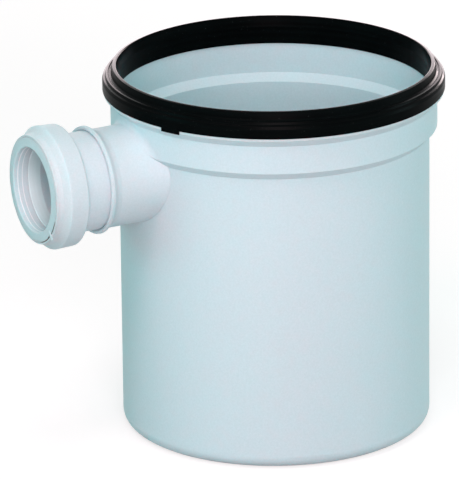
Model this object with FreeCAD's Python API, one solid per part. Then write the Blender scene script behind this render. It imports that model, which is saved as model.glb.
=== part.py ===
import FreeCAD, Part
import math
import os

# A plastic gully trap: a round pot with a sealed riser socket on top and a
# side socket that takes the outlet pipe. Sizes are in millimetres. The origin
# is the middle of the flat underside, +Z runs up the pot, and the side socket
# points along -X. Distances along the outlet are taken from the pot's axis.

# --- clearances --------------------------------------------------------
PUSH_FIT = 0.3              # radial, between pushed-in pipes
SEAL_GAP = 0.05             # rubber seated in its groove
SEAT_GAP = 0.2              # between the riser seal and the rim
RISER_CLEARANCE = 0.3       # radial, around the riser pipe
PIPE_CLEARANCE = 0.75       # radial, around the outlet pipe

# --- pot ---------------------------------------------------------------
POT_RADIUS = 157.5          # outside of the straight wall, a 315 mm pipe size
WALL = 6.0
FLOOR = 6.0
BOTTOM_ROUND = 13.0
INNER_ROUND = 8.0
STEP_HEIGHT = 308.4         # where the straight wall ends
STEP_OUT = 8.0              # how far the riser socket stands out from the wall
SOCKET_LENGTH = 28.6        # straight part of the riser socket
COLLAR_OUT = 7.0
COLLAR_RISE = 7.5
COLLAR_EDGE = 2.3
RIM_RISE = 12.2             # rim above the collar, covered by the riser seal
RIM_THINNING = 0.3
EDGE_ROUND = 0.8

# --- outlet stub -------------------------------------------------------
STUB_RADIUS = 50.4
STUB_TOP_GAP = 5.9          # between the top of the stub and the collar
STUB_WALL = 4.8
STUB_LENGTH = 52.5          # beyond the straight wall
MOUTH_SWELL = 4.4
MOUTH_WALL = 4.4            # around the side socket's neck
MOUTH_STRAIGHT = 4.0
MOUTH_TAPER = 9.5           # hollow sweep from the stub up to the mouth
MOUTH_SHOULDER = 0.1
MOUTH_DEPTH = 7.0
MOUTH_CHAMFER = 1.8
MOUTH_ROUND = 1.6
FLARE = 7.0                 # widening of the stub's root at its sides
FLARE_LENGTH = 36.0
FLARE_ANGLE = 17.0          # widest this far above the centre line
FLARE_SPAN = 70.0           # and gone this far round from there
BLEND_TOP = 4.0             # blend of stub and socket over the top
BLEND_SIDE = 10.0           # and where it runs out at the step

# --- side socket -------------------------------------------------------
PIPE_RADIUS = 41.25         # outlet pipe of 82.5 mm outside diameter
SOCKET_REACH = 61.0         # mouth of the side socket beyond the stub
PIPE_HOLD = 66.0            # how deep the pipe goes in
SPIGOT_WALL = 4.8           # stands in from the bore to stop the pipe
SPIGOT_LENGTH = 29.0
BEAD_RADIUS = 62.6
BEAD_TAPER = 0.8
BEAD_START = 13.0           # behind the mouth
BEAD_LENGTH = 19.5
BEAD_ROUND = 1.6
LIP_RADIUS = 55.3
LIP_LENGTH = 3.0
GROOVE_RADIUS = 57.6
GROOVE_START = 10.5
GROOVE_LENGTH = 17.5

# --- retaining ring ----------------------------------------------------
RING_THICKNESS = 4.6
RING_PROUD = 0.3
RING_DOME = 1.0             # the face rises towards the opening
RING_RADIUS = 53.0
RING_OPENING = 43.1
SLEEVE_BORE = 42.6          # the ring's sleeve, behind its flange
SLEEVE_WALL = 4.4
SLEEVE_END = 14.6
FLANGE_EDGE = 3.6           # where the opening narrows to the sleeve
PRY_ANGLE = -47.0           # where the ring can be prised out
PRY_SPAN = 38.0
PRY_DEPTH = 1.3
TAB_ANGLE = -42.0
TAB_REACH = 59.6
TAB_WIDTH = 3.6
TAB_THICKNESS = 1.2
TAB_GAP = 0.15              # between the tab and the lip it passes over

# --- seals of the outlet -----------------------------------------------
O_RING_SECTION = 1.35
O_RING_INSET = 5.5          # from the end of the trap bend
SPIGOT_RING_INSET = 9.0     # from the end of the side socket's spigot
LIP_CLEARANCE = 0.05        # lip as it stands with the pipe home

# --- riser seal --------------------------------------------------------
SEAL_OVERHANG = 0.9         # beyond the collar
LEG_LENGTH = 16.5           # inside the rim
LEG_CHAMFER = 0.4
CREST_RISE = 13.5
LEAD_IN = 12.0
FLASH_ANGLE = 206.0
FLASH_SPAN = 7.4
FLASH_DROP = 3.6
FLASH_THICKNESS = 0.6

# --- trap bend ---------------------------------------------------------
BEND_WALL = 4.3
BEND_RADIUS = 60.0
BEND_LEVEL = 41.5           # level run inside the pot, before the turn
COLLAR_HEIGHT = 3.7         # stop collar that rests inside the pot's wall
COLLAR_WIDTH = 4.0
COLLAR_GAP = 1.8
DIP = 123.0                 # open mouth below the outlet's centre line
BEND_GAP = 1.5              # between the bend and the side socket's spigot

# --- worked out from the sizes above -----------------------------------
SOCKET_BASE = STEP_HEIGHT + STEP_OUT
SOCKET_RADIUS = POT_RADIUS + STEP_OUT
SOCKET_TOP = SOCKET_BASE + SOCKET_LENGTH
COLLAR_TOP = SOCKET_TOP + COLLAR_RISE + COLLAR_EDGE
RIM_HEIGHT = COLLAR_TOP + RIM_RISE
OUTLET_HEIGHT = SOCKET_TOP - STUB_TOP_GAP - STUB_RADIUS
STUB_BORE = STUB_RADIUS - STUB_WALL
STUB_FACE = POT_RADIUS + STUB_LENGTH
MOUTH_RADIUS = STUB_RADIUS + MOUTH_SWELL
NECK_RADIUS = MOUTH_RADIUS - MOUTH_WALL - PUSH_FIT
MOUTH_BACK = STUB_FACE - MOUTH_STRAIGHT - MOUTH_TAPER
SOCKET_FACE = STUB_FACE + SOCKET_REACH
OUTLET_BORE = PIPE_RADIUS + PIPE_CLEARANCE
SPIGOT_END = STUB_FACE - SPIGOT_LENGTH
BEAD_FRONT = SOCKET_FACE - BEAD_START
BEAD_BACK = BEAD_FRONT - BEAD_LENGTH
GROOVE_FRONT = SOCKET_FACE - GROOVE_START
GROOVE_BACK = GROOVE_FRONT - GROOVE_LENGTH
RING_SEAT = SOCKET_FACE + RING_PROUD - RING_THICKNESS
BEND_END = SPIGOT_END - BEND_GAP
BEND_OUTSIDE = STUB_BORE - PUSH_FIT

AXIS_Z = FreeCAD.Vector(0, 0, 1)
OUTWARD = FreeCAD.Vector(-1, 0, 0)
OUTLET_ORIGIN = FreeCAD.Vector(0, 0, OUTLET_HEIGHT)


def outline(points):
    closed = points + [points[0]]
    return Part.Face(Part.makePolygon(closed))


def turned_upright(profile):
    """A body turned about the pot's axis from (radius, height) points."""
    points = [FreeCAD.Vector(radius, 0, height) for radius, height in profile]
    return outline(points).revolve(FreeCAD.Vector(0, 0, 0), AXIS_Z, 360)


def turned_outlet(profile):
    """A body turned about the outlet's axis from (distance, radius) points."""
    points = [FreeCAD.Vector(-distance, 0, OUTLET_HEIGHT + radius)
              for distance, radius in profile]
    return outline(points).revolve(OUTLET_ORIGIN, OUTWARD, 360)


def outlet_cylinder(radius, start, end):
    base = FreeCAD.Vector(-start, 0, OUTLET_HEIGHT)
    return Part.makeCylinder(radius, end - start, base, OUTWARD)


def ring_edges(shape, radius, height):
    """Round edges about the pot's axis at one radius and height."""
    found = []
    for edge in shape.Edges:
        if edge.Curve.TypeId != "Part::GeomCircle":
            continue
        centre = edge.Curve.Center
        if abs(edge.Curve.Radius - radius) < 0.01 and abs(centre.z - height) < 0.01:
            found.append(edge)
    return found


def outlet_edges(shape, radius, distance):
    """Round edges about the outlet's axis at one radius and distance."""
    found = []
    for edge in shape.Edges:
        if edge.Curve.TypeId != "Part::GeomCircle":
            continue
        centre = edge.Curve.Center
        on_axis = abs(centre.z - OUTLET_HEIGHT) < 0.01 and abs(centre.y) < 0.01
        if on_axis and abs(edge.Curve.Radius - radius) < 0.01 and abs(centre.x + distance) < 0.01:
            found.append(edge)
    return found


def pot_outside():
    collar_radius = SOCKET_RADIUS + COLLAR_OUT
    collar_low = SOCKET_TOP + COLLAR_RISE
    rim_radius = SOCKET_RADIUS - RIM_THINNING
    profile = [
        (0, 0),
        (POT_RADIUS, 0),
        (POT_RADIUS, STEP_HEIGHT),
        (SOCKET_RADIUS, SOCKET_BASE),
        (SOCKET_RADIUS, SOCKET_TOP),
        (collar_radius, collar_low),
        (collar_radius, COLLAR_TOP),
        (rim_radius, COLLAR_TOP),
        (rim_radius, RIM_HEIGHT),
        (0, RIM_HEIGHT),
    ]
    body = turned_upright(profile)
    body = body.makeFillet(BOTTOM_ROUND, ring_edges(body, POT_RADIUS, 0))
    soft = ring_edges(body, collar_radius, collar_low) + ring_edges(body, collar_radius, COLLAR_TOP)
    return body.makeFillet(EDGE_ROUND, soft)


def stub_section(distance, spread):
    """Section of the stub, a circle that is wider at its sides by the spread."""
    points = []
    steps = 36
    for step in range(steps):
        angle = 360 * step / steps - 90
        side = angle if angle <= 90 else 180 - angle
        phase = (side - FLARE_ANGLE) / FLARE_SPAN
        share = math.cos(math.pi / 2 * phase) ** 2 if abs(phase) < 1 else 0
        radius = STUB_RADIUS + spread * share
        across = radius * math.cos(math.radians(angle))
        height = OUTLET_HEIGHT + radius * math.sin(math.radians(angle))
        points.append(FreeCAD.Vector(-distance, across, height))
    even = [step / steps for step in range(steps + 1)]
    curve = Part.BSplineCurve()
    curve.interpolate(Points=points, Parameters=even, PeriodicFlag=True)
    return Part.Wire(curve.toShape())


def flared_stub():
    """The stub up to its mouth, with a root that widens to meet the pot."""
    root = math.sqrt(POT_RADIUS ** 2 - STUB_RADIUS ** 2)
    sections = []
    for part in range(-1, 4):
        spread = FLARE * (1 - part / 4) ** 2
        sections.append(stub_section(root + FLARE_LENGTH * part / 4, spread))
    sections.append(stub_section(root + FLARE_LENGTH, 0))
    sections.append(stub_section(MOUTH_BACK, 0))
    return Part.makeLoft(sections, True, False)


def blended_half(body):
    """One half of the pot and stub, with the blend that widens to the step."""
    size = 4 * POT_RADIUS
    keep = Part.makeBox(2 * size, size, size, FreeCAD.Vector(-size, 0, -1))
    half = body.common(keep).Solids[0]
    blend = []
    for edge in half.Edges:
        box = edge.BoundBox
        on_socket = box.ZMin > SOCKET_BASE - 0.1 and box.ZMax < SOCKET_TOP
        outward = box.XMax < -POT_RADIUS and box.XMin > -SOCKET_RADIUS - 0.1
        if on_socket and outward and box.YLength > STUB_RADIUS / 2:
            blend.append(edge)
    return half.makeFillet(BLEND_TOP, BLEND_SIDE, blend)


def pot_cavity():
    inner_radius = POT_RADIUS - WALL
    step_low = STEP_HEIGHT + WALL * math.tan(math.pi / 8)
    profile = [
        (0, FLOOR),
        (inner_radius, FLOOR),
        (inner_radius, step_low),
        (inner_radius + STEP_OUT, step_low + STEP_OUT),
        (inner_radius + STEP_OUT, RIM_HEIGHT + 1),
        (0, RIM_HEIGHT + 1),
    ]
    cavity = turned_upright(profile)
    return cavity.makeFillet(INNER_ROUND, ring_edges(cavity, inner_radius, FLOOR))


def stub_mouth():
    """The mouth of the stub, which sweeps out to take the side socket's neck."""
    taper_end = STUB_FACE - MOUTH_STRAIGHT
    foot = STUB_RADIUS + MOUTH_SHOULDER
    rise = MOUTH_RADIUS - foot
    sweep = (MOUTH_TAPER ** 2 + rise ** 2) / (2 * rise)
    half_turn = math.asin(MOUTH_TAPER / sweep) / 2
    halfway = (MOUTH_BACK + sweep * math.sin(half_turn), foot + sweep * (1 - math.cos(half_turn)))
    corners = [
        (taper_end, MOUTH_RADIUS),
        (STUB_FACE, MOUTH_RADIUS),
        (STUB_FACE, 0),
        (MOUTH_BACK, 0),
        (MOUTH_BACK, foot),
    ]
    points = [FreeCAD.Vector(-distance, 0, OUTLET_HEIGHT + radius) for distance, radius in corners]
    middle = FreeCAD.Vector(-halfway[0], 0, OUTLET_HEIGHT + halfway[1])
    hollow = Part.Arc(points[-1], middle, points[0]).toShape()
    section = Part.Face(Part.Wire([hollow] + Part.makePolygon(points).Edges))
    mouth = section.revolve(OUTLET_ORIGIN, OUTWARD, 360)
    mouth = mouth.makeFillet(MOUTH_ROUND, outlet_edges(mouth, MOUTH_RADIUS, STUB_FACE))
    return mouth.makeFillet(MOUTH_ROUND, outlet_edges(mouth, MOUTH_RADIUS, taper_end))


def make_pot():
    half = blended_half(pot_outside().fuse(flared_stub()))
    other = half.mirror(FreeCAD.Vector(0, 0, 0), FreeCAD.Vector(0, 1, 0))
    body = half.fuse(other).removeSplitter()
    body = body.fuse(stub_mouth())
    body = body.cut(pot_cavity())
    body = body.cut(outlet_cylinder(STUB_BORE, POT_RADIUS - STUB_RADIUS, STUB_FACE + 1))
    seat = NECK_RADIUS + PUSH_FIT
    counterbore = turned_outlet([
        (STUB_FACE - MOUTH_DEPTH, 0),
        (STUB_FACE - MOUTH_DEPTH, seat),
        (STUB_FACE - MOUTH_CHAMFER, seat),
        (STUB_FACE, seat + MOUTH_CHAMFER),
        (STUB_FACE + 1, seat + MOUTH_CHAMFER),
        (STUB_FACE + 1, 0),
    ])
    return body.cut(counterbore)


def make_side_socket():
    """Push-in piece: spigot, neck, and a bead round the seal's groove."""
    seat = STUB_FACE - MOUTH_DEPTH + PUSH_FIT
    spigot = STUB_BORE - PUSH_FIT
    mouth = RING_RADIUS + PUSH_FIT
    passage = spigot - SPIGOT_WALL
    pipe_stop = SOCKET_FACE - PIPE_HOLD
    profile = [
        (SPIGOT_END, passage),
        (SPIGOT_END, spigot - 1),
        (SPIGOT_END + 2, spigot),
        (seat, spigot),
        (seat, NECK_RADIUS),
        (BEAD_BACK - 3, NECK_RADIUS),
        (BEAD_BACK, BEAD_RADIUS - BEAD_TAPER),
        (BEAD_FRONT, BEAD_RADIUS),
        (SOCKET_FACE - LIP_LENGTH - 4, LIP_RADIUS + 1.6),
        (SOCKET_FACE - LIP_LENGTH, LIP_RADIUS),
        (SOCKET_FACE, LIP_RADIUS),
        (SOCKET_FACE, mouth),
        (RING_SEAT, mouth),
        (RING_SEAT, mouth - 1),
        (GROOVE_FRONT + 2.5, mouth - 1),
        (GROOVE_FRONT, GROOVE_RADIUS),
        (GROOVE_BACK, GROOVE_RADIUS),
        (GROOVE_BACK, OUTLET_BORE),
        (pipe_stop, OUTLET_BORE),
        (pipe_stop, passage),
    ]
    body = turned_outlet(profile)
    crest = outlet_edges(body, BEAD_RADIUS - BEAD_TAPER, BEAD_BACK)
    crest += outlet_edges(body, BEAD_RADIUS, BEAD_FRONT)
    body = body.makeFillet(BEAD_ROUND, crest)
    neck = outlet_edges(body, NECK_RADIUS, BEAD_BACK - 3)
    body = body.makeFillet(BEAD_ROUND, neck)
    lip = outlet_edges(body, LIP_RADIUS, SOCKET_FACE)
    body = body.makeFillet(EDGE_ROUND, lip)
    return body.cut(o_ring_groove(SPIGOT_END + SPIGOT_RING_INSET))


def o_ring_groove(distance):
    floor = STUB_BORE - 2 * O_RING_SECTION - 2 * SEAL_GAP
    half_width = O_RING_SECTION + 0.3
    groove = outlet_cylinder(STUB_BORE + 1, distance - half_width, distance + half_width)
    return groove.cut(outlet_cylinder(floor, distance - half_width - 1, distance + half_width + 1))


def o_ring(distance):
    centre = FreeCAD.Vector(-distance, 0, OUTLET_HEIGHT)
    ring_radius = STUB_BORE - O_RING_SECTION - SEAL_GAP
    return Part.makeTorus(ring_radius, O_RING_SECTION, centre, OUTWARD)


def make_retaining_ring():
    """Flanged ring that holds the seal: a prising slot and a lifting tab."""
    front = SOCKET_FACE + RING_PROUD
    sleeve = SLEEVE_BORE + SLEEVE_WALL
    profile = [
        (SOCKET_FACE - SLEEVE_END, SLEEVE_BORE),
        (SOCKET_FACE - SLEEVE_END, sleeve),
        (RING_SEAT, sleeve),
        (RING_SEAT, RING_RADIUS),
        (front, RING_RADIUS),
        (front + RING_DOME, RING_OPENING + EDGE_ROUND),
        (front + RING_DOME - EDGE_ROUND, RING_OPENING),
        (front - FLANGE_EDGE, RING_OPENING),
        (front - FLANGE_EDGE, SLEEVE_BORE),
    ]
    ring = turned_outlet(profile)
    middle = math.radians(PRY_ANGLE)
    half_chord = RING_RADIUS * math.sin(math.radians(PRY_SPAN) / 2)
    scoop_radius = RING_RADIUS - PRY_DEPTH + 2 * half_chord
    reach = RING_RADIUS - PRY_DEPTH + scoop_radius
    scoop_centre = FreeCAD.Vector(
        -RING_SEAT + 1, -reach * math.cos(middle), OUTLET_HEIGHT + reach * math.sin(middle))
    scoop_length = RING_THICKNESS + RING_DOME + 2
    scoop = Part.makeCylinder(scoop_radius, scoop_length, scoop_centre, OUTWARD)
    ring = ring.cut(scoop)
    root = RING_RADIUS - 4
    tab = Part.makeBox(TAB_THICKNESS, TAB_REACH - root, TAB_WIDTH)
    tab.translate(FreeCAD.Vector(-SOCKET_FACE - TAB_GAP - TAB_THICKNESS, root, -TAB_WIDTH / 2))
    corners = [edge for edge in tab.Edges
               if edge.BoundBox.XLength > TAB_THICKNESS / 2 and edge.BoundBox.YMin > root + 1]
    tab = tab.makeFillet(TAB_WIDTH / 3, corners)
    tab.rotate(FreeCAD.Vector(0, 0, 0), FreeCAD.Vector(1, 0, 0), 180 - TAB_ANGLE)
    tab.translate(FreeCAD.Vector(0, 0, OUTLET_HEIGHT))
    return ring.fuse(tab)


def make_socket_seal_ring():
    """Lip seal in the bead: a heel, a relief behind it and a lip on the pipe."""
    back = GROOVE_BACK + SEAL_GAP
    lip = OUTLET_BORE + LIP_CLEARANCE
    heel = GROOVE_RADIUS - SEAL_GAP
    shoulder = RING_RADIUS + PUSH_FIT - 1 - SEAL_GAP
    sleeve = SLEEVE_BORE + SLEEVE_WALL + SEAL_GAP
    front = SOCKET_FACE - SLEEVE_END - SEAL_GAP
    profile = [
        (back, lip),
        (back, lip + 3.5),
        (back + 5, lip + 6),
        (back, heel - 7),
        (back, heel),
        (GROOVE_FRONT - 0.5, heel),
        (GROOVE_FRONT + 2.4, shoulder),
        (RING_SEAT - SEAL_GAP, shoulder),
        (RING_SEAT - SEAL_GAP, sleeve),
        (front, sleeve),
        (front, lip + 0.5),
        (front - 0.5, lip),
    ]
    return turned_outlet(profile)


def seal_flash(seal_radius, skirt_end):
    """A ragged scrap of moulding flash under the skirt of the riser seal."""
    outer = seal_radius - 0.1
    inner = outer - FLASH_THICKNESS
    height = FLASH_DROP + 1
    base = skirt_end - FLASH_DROP
    solid = Part.makeCylinder(outer, height, FreeCAD.Vector(0, 0, base), AXIS_Z, FLASH_SPAN)
    solid = solid.cut(Part.makeCylinder(inner, height, FreeCAD.Vector(0, 0, base)))
    notch = Part.makeCylinder(FLASH_DROP * 0.6, 4 * FLASH_THICKNESS)
    notch.rotate(FreeCAD.Vector(0, 0, 0), FreeCAD.Vector(0, 1, 0), 90)
    start = math.radians(FLASH_SPAN * 0.8)
    notch.translate(FreeCAD.Vector(inner * math.cos(start) - 2, inner * math.sin(start), base - 0.6))
    solid = solid.cut(notch)
    solid.rotate(FreeCAD.Vector(0, 0, 0), AXIS_Z, FLASH_ANGLE - FLASH_SPAN / 2)
    return solid


def make_top_seal_ring():
    """Riser seal clipped over the rim: lead-in, crest, groove, ridge and skirt."""
    bore = POT_RADIUS + RISER_CLEARANCE
    rim_inner = POT_RADIUS - WALL + STEP_OUT - SEAT_GAP
    rim_outer = SOCKET_RADIUS - RIM_THINNING + SEAT_GAP
    slot_top = RIM_HEIGHT + SEAT_GAP
    leg_end = RIM_HEIGHT - LEG_LENGTH
    skirt_end = COLLAR_TOP + SEAT_GAP
    outside = SOCKET_RADIUS + COLLAR_OUT + SEAL_OVERHANG
    crest = RIM_HEIGHT + CREST_RISE
    corners = {
        "crest_inner": (bore + 1.6, crest),
        "crest_outer": (bore + 5.4, crest - 0.9),
        "groove_inner": (bore + 6.6, crest - 8.2),
        "groove_outer": (outside - 6.8, crest - 9.8),
        "ridge_inner": (outside - 5.6, crest - 8.4),
        "ridge_outer": (outside - 3.6, crest - 8.8),
        "ledge_inner": (outside - 2.8, crest - 11.4),
        "ledge_outer": (outside - 0.9, crest - 12.4),
        "skirt_top": (outside, crest - 15.5),
        "skirt_foot": (outside, skirt_end),
    }
    profile = [
        (rim_inner, leg_end),
        (bore + LEG_CHAMFER, leg_end),
        (bore, leg_end + 3 * LEG_CHAMFER),
        (bore, crest - LEAD_IN),
    ]
    profile += corners.values()
    profile += [
        (rim_outer, skirt_end),
        (rim_outer, slot_top),
        (rim_inner, slot_top),
    ]
    seal = turned_upright(profile)
    rounds = {
        "crest_inner": 1.0,
        "crest_outer": 1.0,
        "groove_inner": 1.2,
        "groove_outer": 0.6,
        "ridge_inner": 0.5,
        "ridge_outer": 0.5,
        "ledge_inner": 0.5,
        "ledge_outer": 0.7,
        "skirt_foot": 0.6,
    }
    for corner, size in rounds.items():
        seal = seal.makeFillet(size, ring_edges(seal, *corners[corner]))
    return seal.fuse(seal_flash(outside, skirt_end))


def make_trap_bend():
    """Dip pipe: a level leg in the stub, a quarter turn and a drop leg."""
    inside = BEND_OUTSIDE - BEND_WALL
    collar_radius = BEND_OUTSIDE + COLLAR_HEIGHT
    stop = math.sqrt((POT_RADIUS - WALL) ** 2 - collar_radius ** 2) - COLLAR_GAP
    turn_start = stop - BEND_LEVEL
    drop_top = OUTLET_HEIGHT - BEND_RADIUS
    turn = FreeCAD.Vector(-turn_start, 0, drop_top)

    def bent_rod(radius, end, mouth):
        level = outlet_cylinder(radius, turn_start, end)
        ring = Part.makeCircle(radius, FreeCAD.Vector(-turn_start, 0, OUTLET_HEIGHT), OUTWARD)
        quarter = Part.Face(Part.Wire(ring)).revolve(turn, FreeCAD.Vector(0, 1, 0), 90)
        foot = FreeCAD.Vector(BEND_RADIUS - turn_start, 0, mouth)
        drop = Part.makeCylinder(radius, drop_top - mouth, foot)
        return level.fuse([quarter, drop])

    mouth = OUTLET_HEIGHT - DIP
    body = bent_rod(BEND_OUTSIDE, BEND_END, mouth)
    body = body.fuse(outlet_cylinder(collar_radius, stop - COLLAR_WIDTH, stop))
    body = body.removeSplitter()
    body = body.cut(bent_rod(inside, BEND_END + 1, mouth - 1))
    return body.cut(o_ring_groove(BEND_END - O_RING_INSET))


def write_node(name, shape):
    solid = shape.Solids[0] if len(shape.Solids) == 1 else shape
    solid.exportStep("parts/" + name + ".step")


def main():
    os.makedirs("parts", exist_ok=True)
    write_node("pot", make_pot())
    write_node("top_seal_ring", make_top_seal_ring())
    write_node("side_socket", make_side_socket())
    write_node("retaining_ring", make_retaining_ring())
    write_node("socket_seal_ring", make_socket_seal_ring())
    write_node("stub_seal_ring", o_ring(SPIGOT_END + SPIGOT_RING_INSET))
    write_node("trap_bend", make_trap_bend())
    write_node("trap_bend_seal", o_ring(BEND_END - O_RING_INSET))


main()
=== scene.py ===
import math

import bpy
from mathutils import Matrix, Vector


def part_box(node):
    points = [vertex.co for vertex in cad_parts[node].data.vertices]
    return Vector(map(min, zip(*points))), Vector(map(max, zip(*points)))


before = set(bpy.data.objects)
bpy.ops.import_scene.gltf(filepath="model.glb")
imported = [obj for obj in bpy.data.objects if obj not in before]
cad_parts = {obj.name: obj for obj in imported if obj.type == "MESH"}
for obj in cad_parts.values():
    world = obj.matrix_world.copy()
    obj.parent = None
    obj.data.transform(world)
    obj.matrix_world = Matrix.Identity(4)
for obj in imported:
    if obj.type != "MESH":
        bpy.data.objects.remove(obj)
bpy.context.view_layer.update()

# A plastic gully trap in a plain white studio. The solids come finished, so
# this file holds their materials, the floor, the lights and the camera.
# Everything is in metres, with +Z up the pot and the side socket along -X.

POT_LOW, POT_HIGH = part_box("pot")
SOCKET_LOW, SOCKET_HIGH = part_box("side_socket")
OUTLET_HEIGHT = (SOCKET_LOW.z + SOCKET_HIGH.z) / 2
OUTLET_CENTRE = (0.0, 0.0, OUTLET_HEIGHT)
MOUTH_FACE = SOCKET_LOW.x
RING_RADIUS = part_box("retaining_ring")[1].z - OUTLET_HEIGHT

# --- camera ------------------------------------------------------------
CAMERA_AZIMUTH = math.radians(-27.0)
CAMERA_ELEVATION = math.radians(19.25)
CAMERA_ROLL = math.radians(-0.634)
CAMERA_DISTANCE = 6.3
AIM_ASIDE = -0.0464
AIM_HEIGHT = 0.1904
LENS = 463.2

# --- plastic -----------------------------------------------------------
POT_COLOUR = (0.61, 0.735, 0.78)
SOCKET_COLOUR = (0.63, 0.745, 0.79)
RING_COLOUR = (0.59, 0.735, 0.775)
PLASTIC_TINT = (0.56, 0.725, 0.755)
PLASTIC_DUST = (0.86, 0.90, 0.92)
PLASTIC_PEBBLE = (0.45, 0.60, 0.62)
# Painted shade for the gap and slot round the retaining ring.
PAINTED_GAP_SHADE = (0.012, 0.020, 0.020)
# Painted highlight for the edges in the retaining ring's bore.
PAINTED_EDGE_HIGHLIGHT = (0.86, 0.92, 0.94)
PLASTIC_RELIEF = 0.00009

# --- painted shade in the retaining ring's slot and painted highlights on the edges in its bore ---
SLOT_ASIDE, SLOT_UP = -0.68, -0.73
BORE_EDGES = (0.0034, 0.0082)
RING_WALL = 0.0085

# --- rubber ------------------------------------------------------------
RUBBER_BLACK = (0.0010, 0.0016, 0.0017)
RUBBER_BLOOM = (0.003, 0.006, 0.006)
RUBBER_DUST = (0.12, 0.14, 0.14)
RUBBER_RELIEF = 0.00006
PALE_RUBBER = (0.70, 0.87, 0.89)
TALC = (0.60, 0.70, 0.70)
PALE_RUBBER_RELIEF = 0.00007

# --- studio ------------------------------------------------------------
FLOOR_TONES = (0.40, 0.40, 0.40), (0.42, 0.42, 0.42)
FLOOR_GLOW = (0.69, 0.655, 0.655)
FLOOR_RADIUS = 5.0
FLOOR_SIDES = 96
FLOOR_GAP = 0.0005
SKY_COLOUR = (0.50, 1.0, 0.94)
SKY_STRENGTH = 0.31
LAMP_DISTANCE = 2.4

# Each lamp: azimuth and elevation in degrees, width, watts and tint.
LAMPS = {
    "key_light": (-26.0, 25.0, 0.9, 21.5, (0.84, 1.0, 1.0)),
    "low_light": (-25.0, 14.0, 0.9, 18.5, (1.0, 0.45, 0.53)),
    "top_light": (-30.0, 75.0, 0.9, 9.5, (1.0, 0.97, 0.98)),
    "left_light": (-58.0, 52.0, 0.9, 16.0, (1.0, 0.53, 0.59)),
    "left_fill": (-95.0, 15.0, 0.9, 8.0, (0.20, 1.0, 1.0)),
    "right_fill": (65.0, 12.0, 0.9, 13.0, (0.68, 0.98, 1.0)),
    "back_fill": (120.0, 15.0, 0.9, 11.0, (1.0, 0.84, 0.84)),
    "back_light": (154.0, 4.0, 2.6, 24.0, (1.0, 0.80, 0.84)),
}


class Value:
    """A number, colour or vector in a material; sums of values add its nodes."""

    def __init__(self, nodes, socket):
        self.nodes = nodes
        self.socket = socket

    def math(self, operation, *inputs):
        return self.nodes.node("ShaderNodeMath", {"operation": operation}, dict(enumerate(inputs)))

    def __add__(self, other):
        return self.math("ADD", self, other)

    def __radd__(self, other):
        return self.math("ADD", other, self)

    def __sub__(self, other):
        return self.math("SUBTRACT", self, other)

    def __rsub__(self, other):
        return self.math("SUBTRACT", other, self)

    def __mul__(self, other):
        return self.math("MULTIPLY", self, other)

    def __rmul__(self, other):
        return self.math("MULTIPLY", other, self)

    def __pow__(self, other):
        return self.math("POWER", self, other)

    def __abs__(self):
        return self.math("ABSOLUTE", self)

    def or_more(self, other):
        """The larger of two values."""
        return self.math("MAXIMUM", self, other)

    def or_less(self, other):
        """The smaller of two values."""
        return self.math("MINIMUM", self, other)

    def limited(self, low, high):
        """Nought at the low value, one at the high value, clamped outside."""
        settings = {"clamp": True}
        return self.nodes.node("ShaderNodeMapRange", settings, {"Value": self, 1: low, 2: high})


class Nodes:
    """The nodes of a material or of the world."""

    def __init__(self, owner):
        owner.use_nodes = True
        self.tree = owner.node_tree
        self.tree.nodes.clear()

    def feed(self, socket, value):
        if isinstance(value, Value):
            self.tree.links.new(value.socket, socket)
        elif isinstance(value, tuple) and socket.type == "RGBA":
            socket.default_value = (*value, 1)
        else:
            socket.default_value = value

    def node(self, kind, settings, inputs, output=0):
        """Add a node: its settings first, then its sockets' values or links."""
        made = self.tree.nodes.new(kind)
        for name, setting in settings.items():
            setattr(made, name, setting)
        for name, value in inputs.items():
            self.feed(made.inputs[name], value)
        return Value(self, made.outputs[output])

    def show(self, kind, shader):
        """Lead a shader to the surface of an output node."""
        self.feed(self.tree.nodes.new(kind).inputs["Surface"], shader)

    def seen_directly(self):
        """One for rays from the eye, a gloss or a clear thing, nought for the rest."""
        eye, gloss, clear = [self.node("ShaderNodeLightPath", {}, {}, name)
                             for name in ("Is Camera Ray", "Is Glossy Ray", "Is Transmission Ray")]
        return eye.or_more(gloss).or_more(clear)


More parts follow.
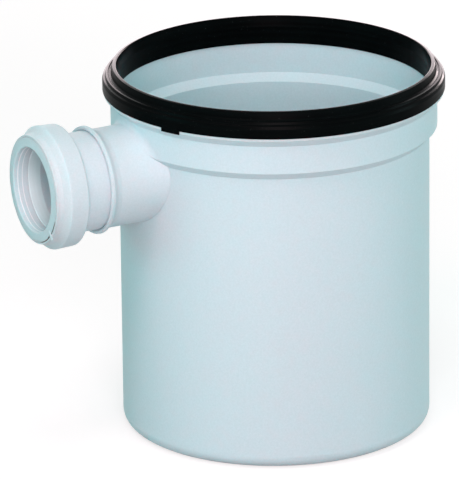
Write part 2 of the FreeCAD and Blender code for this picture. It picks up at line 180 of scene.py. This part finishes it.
class Finish(Nodes):
    """A material being made, with its one shader and the object's position."""

    def __init__(self, name):
        self.material = bpy.data.materials.new(name)
        super().__init__(self.material)
        shader = self.node("ShaderNodeBsdfPrincipled", {}, {})
        self.shader = shader.socket.node
        self.show("ShaderNodeOutputMaterial", shader)
        self.place = self.node("ShaderNodeTexCoord", {}, {}, "Object")

    def set(self, **inputs):
        for name, value in inputs.items():
            self.feed(self.shader.inputs[name.replace("_", " ")], value)

    def mixed(self, share, first, second):
        """A colour between two colours, by a share from nought to one."""
        settings = {"data_type": "RGBA"}
        return self.node("ShaderNodeMix", settings, {"Factor": share, 6: first, 7: second}, 2)

    def vector(self, operation, first, second):
        inputs = {0: first, 1: second}
        return self.node("ShaderNodeVectorMath", {"operation": operation}, inputs)

    def parts(self, vector):
        """The x, y and z of a vector."""
        return [self.node("ShaderNodeSeparateXYZ", {}, {0: vector}, k) for k in range(3)]

    def noise(self, vector, scale=1.0, detail=2.0, rough=0.5):
        inputs = {"Vector": vector, "Scale": scale, "Detail": detail, "Roughness": rough}
        return self.node("ShaderNodeTexNoise", {}, inputs)

    def around(self, axis, centre, along, across):
        """Cells for marks that run round an axis: fine over it, long around."""
        x, y, z = self.parts(self.vector("SUBTRACT", self.place, centre))
        depth, first, second = (z, x, y) if axis == "z" else (x, y, z)
        radius = (first * first + second * second) ** 0.5
        inputs = {0: radius * across, 1: depth * across, 2: (first + second) * along}
        return self.node("ShaderNodeCombineXYZ", {}, inputs)

    def about_outlet(self):
        """The position from the outlet's axis: x, y, z and the radius."""
        x, y, height = self.parts(self.place)
        z = height - OUTLET_HEIGHT
        return x, y, z, (y * y + z * z) ** 0.5

    def bumped(self, height, depth):
        """A normal from a height between nought and one, deep in metres."""
        inputs = {"Height": height, "Distance": depth, "Strength": 1.0}
        return self.node("ShaderNodeBump", {}, inputs)


def painted_gap_shade(finish):
    """Painted shade: one in the gap between the retaining ring and the bead's mouth, and in the
    ring's slot.
    """
    x, y, z, radius = finish.about_outlet()
    gap = (radius - (RING_RADIUS - 0.0018)).limited(0.0, 0.0004) \
        * (RING_RADIUS + 0.0008 - radius).limited(0.0, 0.0003)
    joint = (radius - (RING_RADIUS - 0.0005)).limited(0.0, 0.0004) \
        * (RING_RADIUS + 0.0007 - radius).limited(0.0, 0.0003)
    slot = ((y * SLOT_ASIDE + z * SLOT_UP) * radius ** -1.0).limited(0.88, 0.93)
    proud = (MOUTH_FACE - 0.0009 - x).limited(-0.0004, 0.0)
    deep = (x - MOUTH_FACE).limited(0.0003, 0.0007)
    return (gap * deep).or_more(joint * slot * (1 - proud))


def painted_edge_highlights(finish):
    """Painted highlight: one on the two thin edges that run round inside the retaining ring."""
    x, _, _, radius = finish.about_outlet()
    first, second = [abs(x - (MOUTH_FACE + edge)) for edge in BORE_EDGES]
    inside = (RING_RADIUS - RING_WALL - radius).limited(0.0, 0.0005)
    return (0.0006 - first.or_less(second)).limited(0.0, 0.0003) * inside


def moulded_plastic(name, colour, marks, fitting=False):
    """Polypropylene with a fine matte grain, soft flow marks and faint dust; a fitting also gets
    painted shade in the retaining ring's gap and slot and painted highlights on the edges in its
    bore.
    """
    finish = Finish(name)
    cloud = finish.noise(finish.place, 14.0, 3.0)
    drawn = finish.noise(marks(finish), 1.0, 2.0)
    grain = finish.noise(finish.place, 1500.0, 2.0, 0.6)
    pebble = finish.noise(finish.place, 520.0, 2.0)
    speck = finish.noise(finish.place, 260.0, 1.0).limited(0.72, 0.80)
    share = (cloud * 0.5 + drawn * 0.5).limited(0.30, 0.72) * 0.22
    base = finish.mixed(share, colour, PLASTIC_TINT)
    base = finish.mixed(speck * 0.18, base, PLASTIC_DUST)
    base = finish.mixed(pebble.limited(0.30, 0.70) * 0.26, base, PLASTIC_PEBBLE)
    if fitting:
        # Painted shade in the gap and slot round the retaining ring.
        base = finish.mixed(painted_gap_shade(finish) * 0.95, base, PAINTED_GAP_SHADE)
        # Painted highlights on the two edges in the retaining ring's bore.
        base = finish.mixed(painted_edge_highlights(finish) * 0.8, base, PAINTED_EDGE_HIGHLIGHT)
    height = grain * 0.45 + pebble * 0.35 + drawn * 0.20
    finish.set(Base_Color=base, Roughness=0.40 + drawn * 0.10 + grain * 0.12,
               Normal=finish.bumped(height, PLASTIC_RELIEF))
    finish.set(IOR=1.49, Specular_IOR_Level=0.30)
    finish.set(Subsurface_Weight=0.45, Subsurface_Radius=(0.25, 1.0, 1.0), Subsurface_Scale=0.009)
    return finish.material


def drawn_upright(finish):
    """Marks left up the wall as the pot leaves its mould."""
    return finish.vector("MULTIPLY", finish.place, (38.0, 38.0, 2.2))


def turned_about_outlet(finish):
    """Marks that run round the outlet's axis."""
    return finish.around("x", OUTLET_CENTRE, 6.0, 160.0)


def ring_polish(finish):
    """One where the riser seal shines: its top faces and its inner lead-in."""
    normal = finish.node("ShaderNodeNewGeometry", {}, {}, "Normal")
    out_x, out_y, rise = finish.parts(normal)
    x, y, _ = finish.parts(finish.place)
    inward = (-6.0 * (out_x * x + out_y * y)).limited(0.05, 0.25)
    edge = finish.node("ShaderNodeLayerWeight", {}, {"Blend": 0.5}, "Facing")
    polish = rise.limited(0.62, 0.92).or_more(inward * rise.limited(0.10, 0.30))
    return polish * edge.limited(0.50, 0.78)


def ring_rubber(name):
    """Black rubber, dull in front, with a polish above and a streaked bloom."""
    finish = Finish(name)
    streak = finish.noise(finish.around("z", (0.0, 0.0, 0.0), 5.0, 260.0), 1.0, 3.0)
    cloud = finish.noise(finish.place, 22.0, 3.0)
    grain = finish.noise(finish.place, 1800.0, 2.0, 0.6)
    dust = finish.noise(finish.place, 700.0, 1.0).limited(0.74, 0.80)
    bloom = (streak * 0.6 + cloud * 0.4).limited(0.42, 0.78)
    base = finish.mixed(bloom * 0.5, RUBBER_BLACK, RUBBER_BLOOM)
    base = finish.mixed(dust * 0.25, base, RUBBER_DUST)
    height = streak * 0.5 + grain * 0.3 + cloud * 0.2
    finish.set(Base_Color=base, Roughness=0.26 + bloom * 0.14 + grain * 0.06,
               Coat_Weight=ring_polish(finish) * (1.0 - bloom * 0.3),
               Normal=finish.bumped(height, RUBBER_RELIEF))
    finish.set(IOR=1.52, Specular_IOR_Level=0.012, Coat_Roughness=0.10, Coat_IOR=1.8)
    return finish.material


def pale_rubber(name):
    """Soft sealing rubber, satin, with fine rings and a dusting of talc."""
    finish = Finish(name)
    rings = finish.noise(finish.around("x", OUTLET_CENTRE, 8.0, 420.0), 1.0, 2.0)
    cloud = finish.noise(finish.place, 60.0, 3.0)
    grain = finish.noise(finish.place, 1600.0, 2.0)
    talc = (cloud * 0.6 + rings * 0.4).limited(0.40, 0.75)
    base = finish.mixed(talc * 0.4, PALE_RUBBER, TALC)
    finish.set(Base_Color=base, Roughness=0.48 + talc * 0.12 + grain * 0.08,
               Normal=finish.bumped(rings * 0.6 + grain * 0.4, PALE_RUBBER_RELIEF))
    finish.set(IOR=1.50)
    return finish.material


def dress_nodes():
    wall = moulded_plastic("pot_plastic", POT_COLOUR, drawn_upright)
    fitting = moulded_plastic("fitting_plastic", SOCKET_COLOUR, turned_about_outlet, True)
    black = ring_rubber("black_rubber")
    pale = pale_rubber("pale_rubber")
    ring = moulded_plastic("ring_plastic", RING_COLOUR, turned_about_outlet, True)
    materials = {
        "pot": wall,
        "trap_bend": wall,
        "side_socket": fitting,
        "retaining_ring": ring,
        "top_seal_ring": black,
        "stub_seal_ring": black,
        "trap_bend_seal": black,
        "socket_seal_ring": pale,
    }
    for name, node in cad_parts.items():
        node.data.materials.clear()
        node.data.materials.append(materials[name])


def lay_floor():
    """A round pale floor that looks white in the open and takes the pot's shadow."""
    finish = Finish("white_floor")
    cloud = finish.noise(finish.place, 3.0, 2.0)
    glow = finish.mixed(finish.seen_directly(), (0.0, 0.0, 0.0), FLOOR_GLOW)
    finish.set(Base_Color=finish.mixed(cloud, *FLOOR_TONES), Roughness=0.9,
               Specular_IOR_Level=0.0, Emission_Color=glow, Emission_Strength=1.0)
    corners = []
    for side in range(FLOOR_SIDES):
        angle = 2 * math.pi * side / FLOOR_SIDES
        corners.append((FLOOR_RADIUS * math.cos(angle), FLOOR_RADIUS * math.sin(angle),
                        POT_LOW.z - FLOOR_GAP))
    mesh = bpy.data.meshes.new("floor")
    mesh.from_pydata(corners, [], [list(range(FLOOR_SIDES))])
    mesh.materials.append(finish.material)
    floor = bpy.data.objects.new("floor", mesh)
    bpy.context.scene.collection.objects.link(floor)


def light_the_room():
    """A room that looks white and lights the pot with a soft teal."""
    world = bpy.data.worlds.new("studio")
    bpy.context.scene.world = world
    nodes = Nodes(world)
    soft = nodes.node("ShaderNodeBackground", {}, {"Color": SKY_COLOUR, "Strength": SKY_STRENGTH})
    white = nodes.node("ShaderNodeBackground", {}, {"Color": (1.0, 1.0, 1.0), "Strength": 1.0})
    inputs = {"Fac": nodes.seen_directly(), 1: soft, 2: white}
    nodes.show("ShaderNodeOutputWorld", nodes.node("ShaderNodeMixShader", {}, inputs))


def softbox(name, azimuth, elevation, width, power, colour):
    """A round soft light, aimed at the middle of the pot."""
    turn, rise = math.radians(azimuth), math.radians(elevation)
    aim = Vector((0, 0, (POT_LOW.z + POT_HIGH.z) / 2))
    level = math.cos(rise)
    away = Vector((math.sin(turn) * level, -math.cos(turn) * level, math.sin(rise)))
    data = bpy.data.lights.new(name, "AREA")
    data.shape = "DISK"
    data.size = width
    data.energy = power
    data.color = colour
    light = bpy.data.objects.new(name, data)
    light.location = aim + away * LAMP_DISTANCE
    light.rotation_mode = "QUATERNION"
    light.rotation_quaternion = (-away).to_track_quat("-Z", "Y")
    bpy.context.scene.collection.objects.link(light)


def place_camera():
    sine, cosine = math.sin(CAMERA_AZIMUTH), math.cos(CAMERA_AZIMUTH)
    right = Vector((cosine, sine, 0))
    away = Vector((-sine, cosine, 0))
    up = Vector((0, 0, 1))
    forward = away * math.cos(CAMERA_ELEVATION) - up * math.sin(CAMERA_ELEVATION)
    top = right.cross(forward)
    rolled = right * math.cos(CAMERA_ROLL) + top * math.sin(CAMERA_ROLL)
    head = top * math.cos(CAMERA_ROLL) - right * math.sin(CAMERA_ROLL)
    aim = right * AIM_ASIDE + up * AIM_HEIGHT
    camera = bpy.data.objects.new("camera", bpy.data.cameras.new("camera"))
    bpy.context.scene.collection.objects.link(camera)
    turn = Matrix((rolled, head, -forward)).transposed().to_4x4()
    camera.matrix_world = Matrix.Translation(aim - forward * CAMERA_DISTANCE) @ turn
    camera.data.lens = LENS
    camera.data.sensor_width = 36.0
    camera.data.clip_end = 100.0
    bpy.context.scene.camera = camera


dress_nodes()
lay_floor()
light_the_room()
for lamp, setting in LAMPS.items():
    softbox(lamp, *setting)
place_camera()
bpy.context.scene.view_settings.view_transform = "Standard"
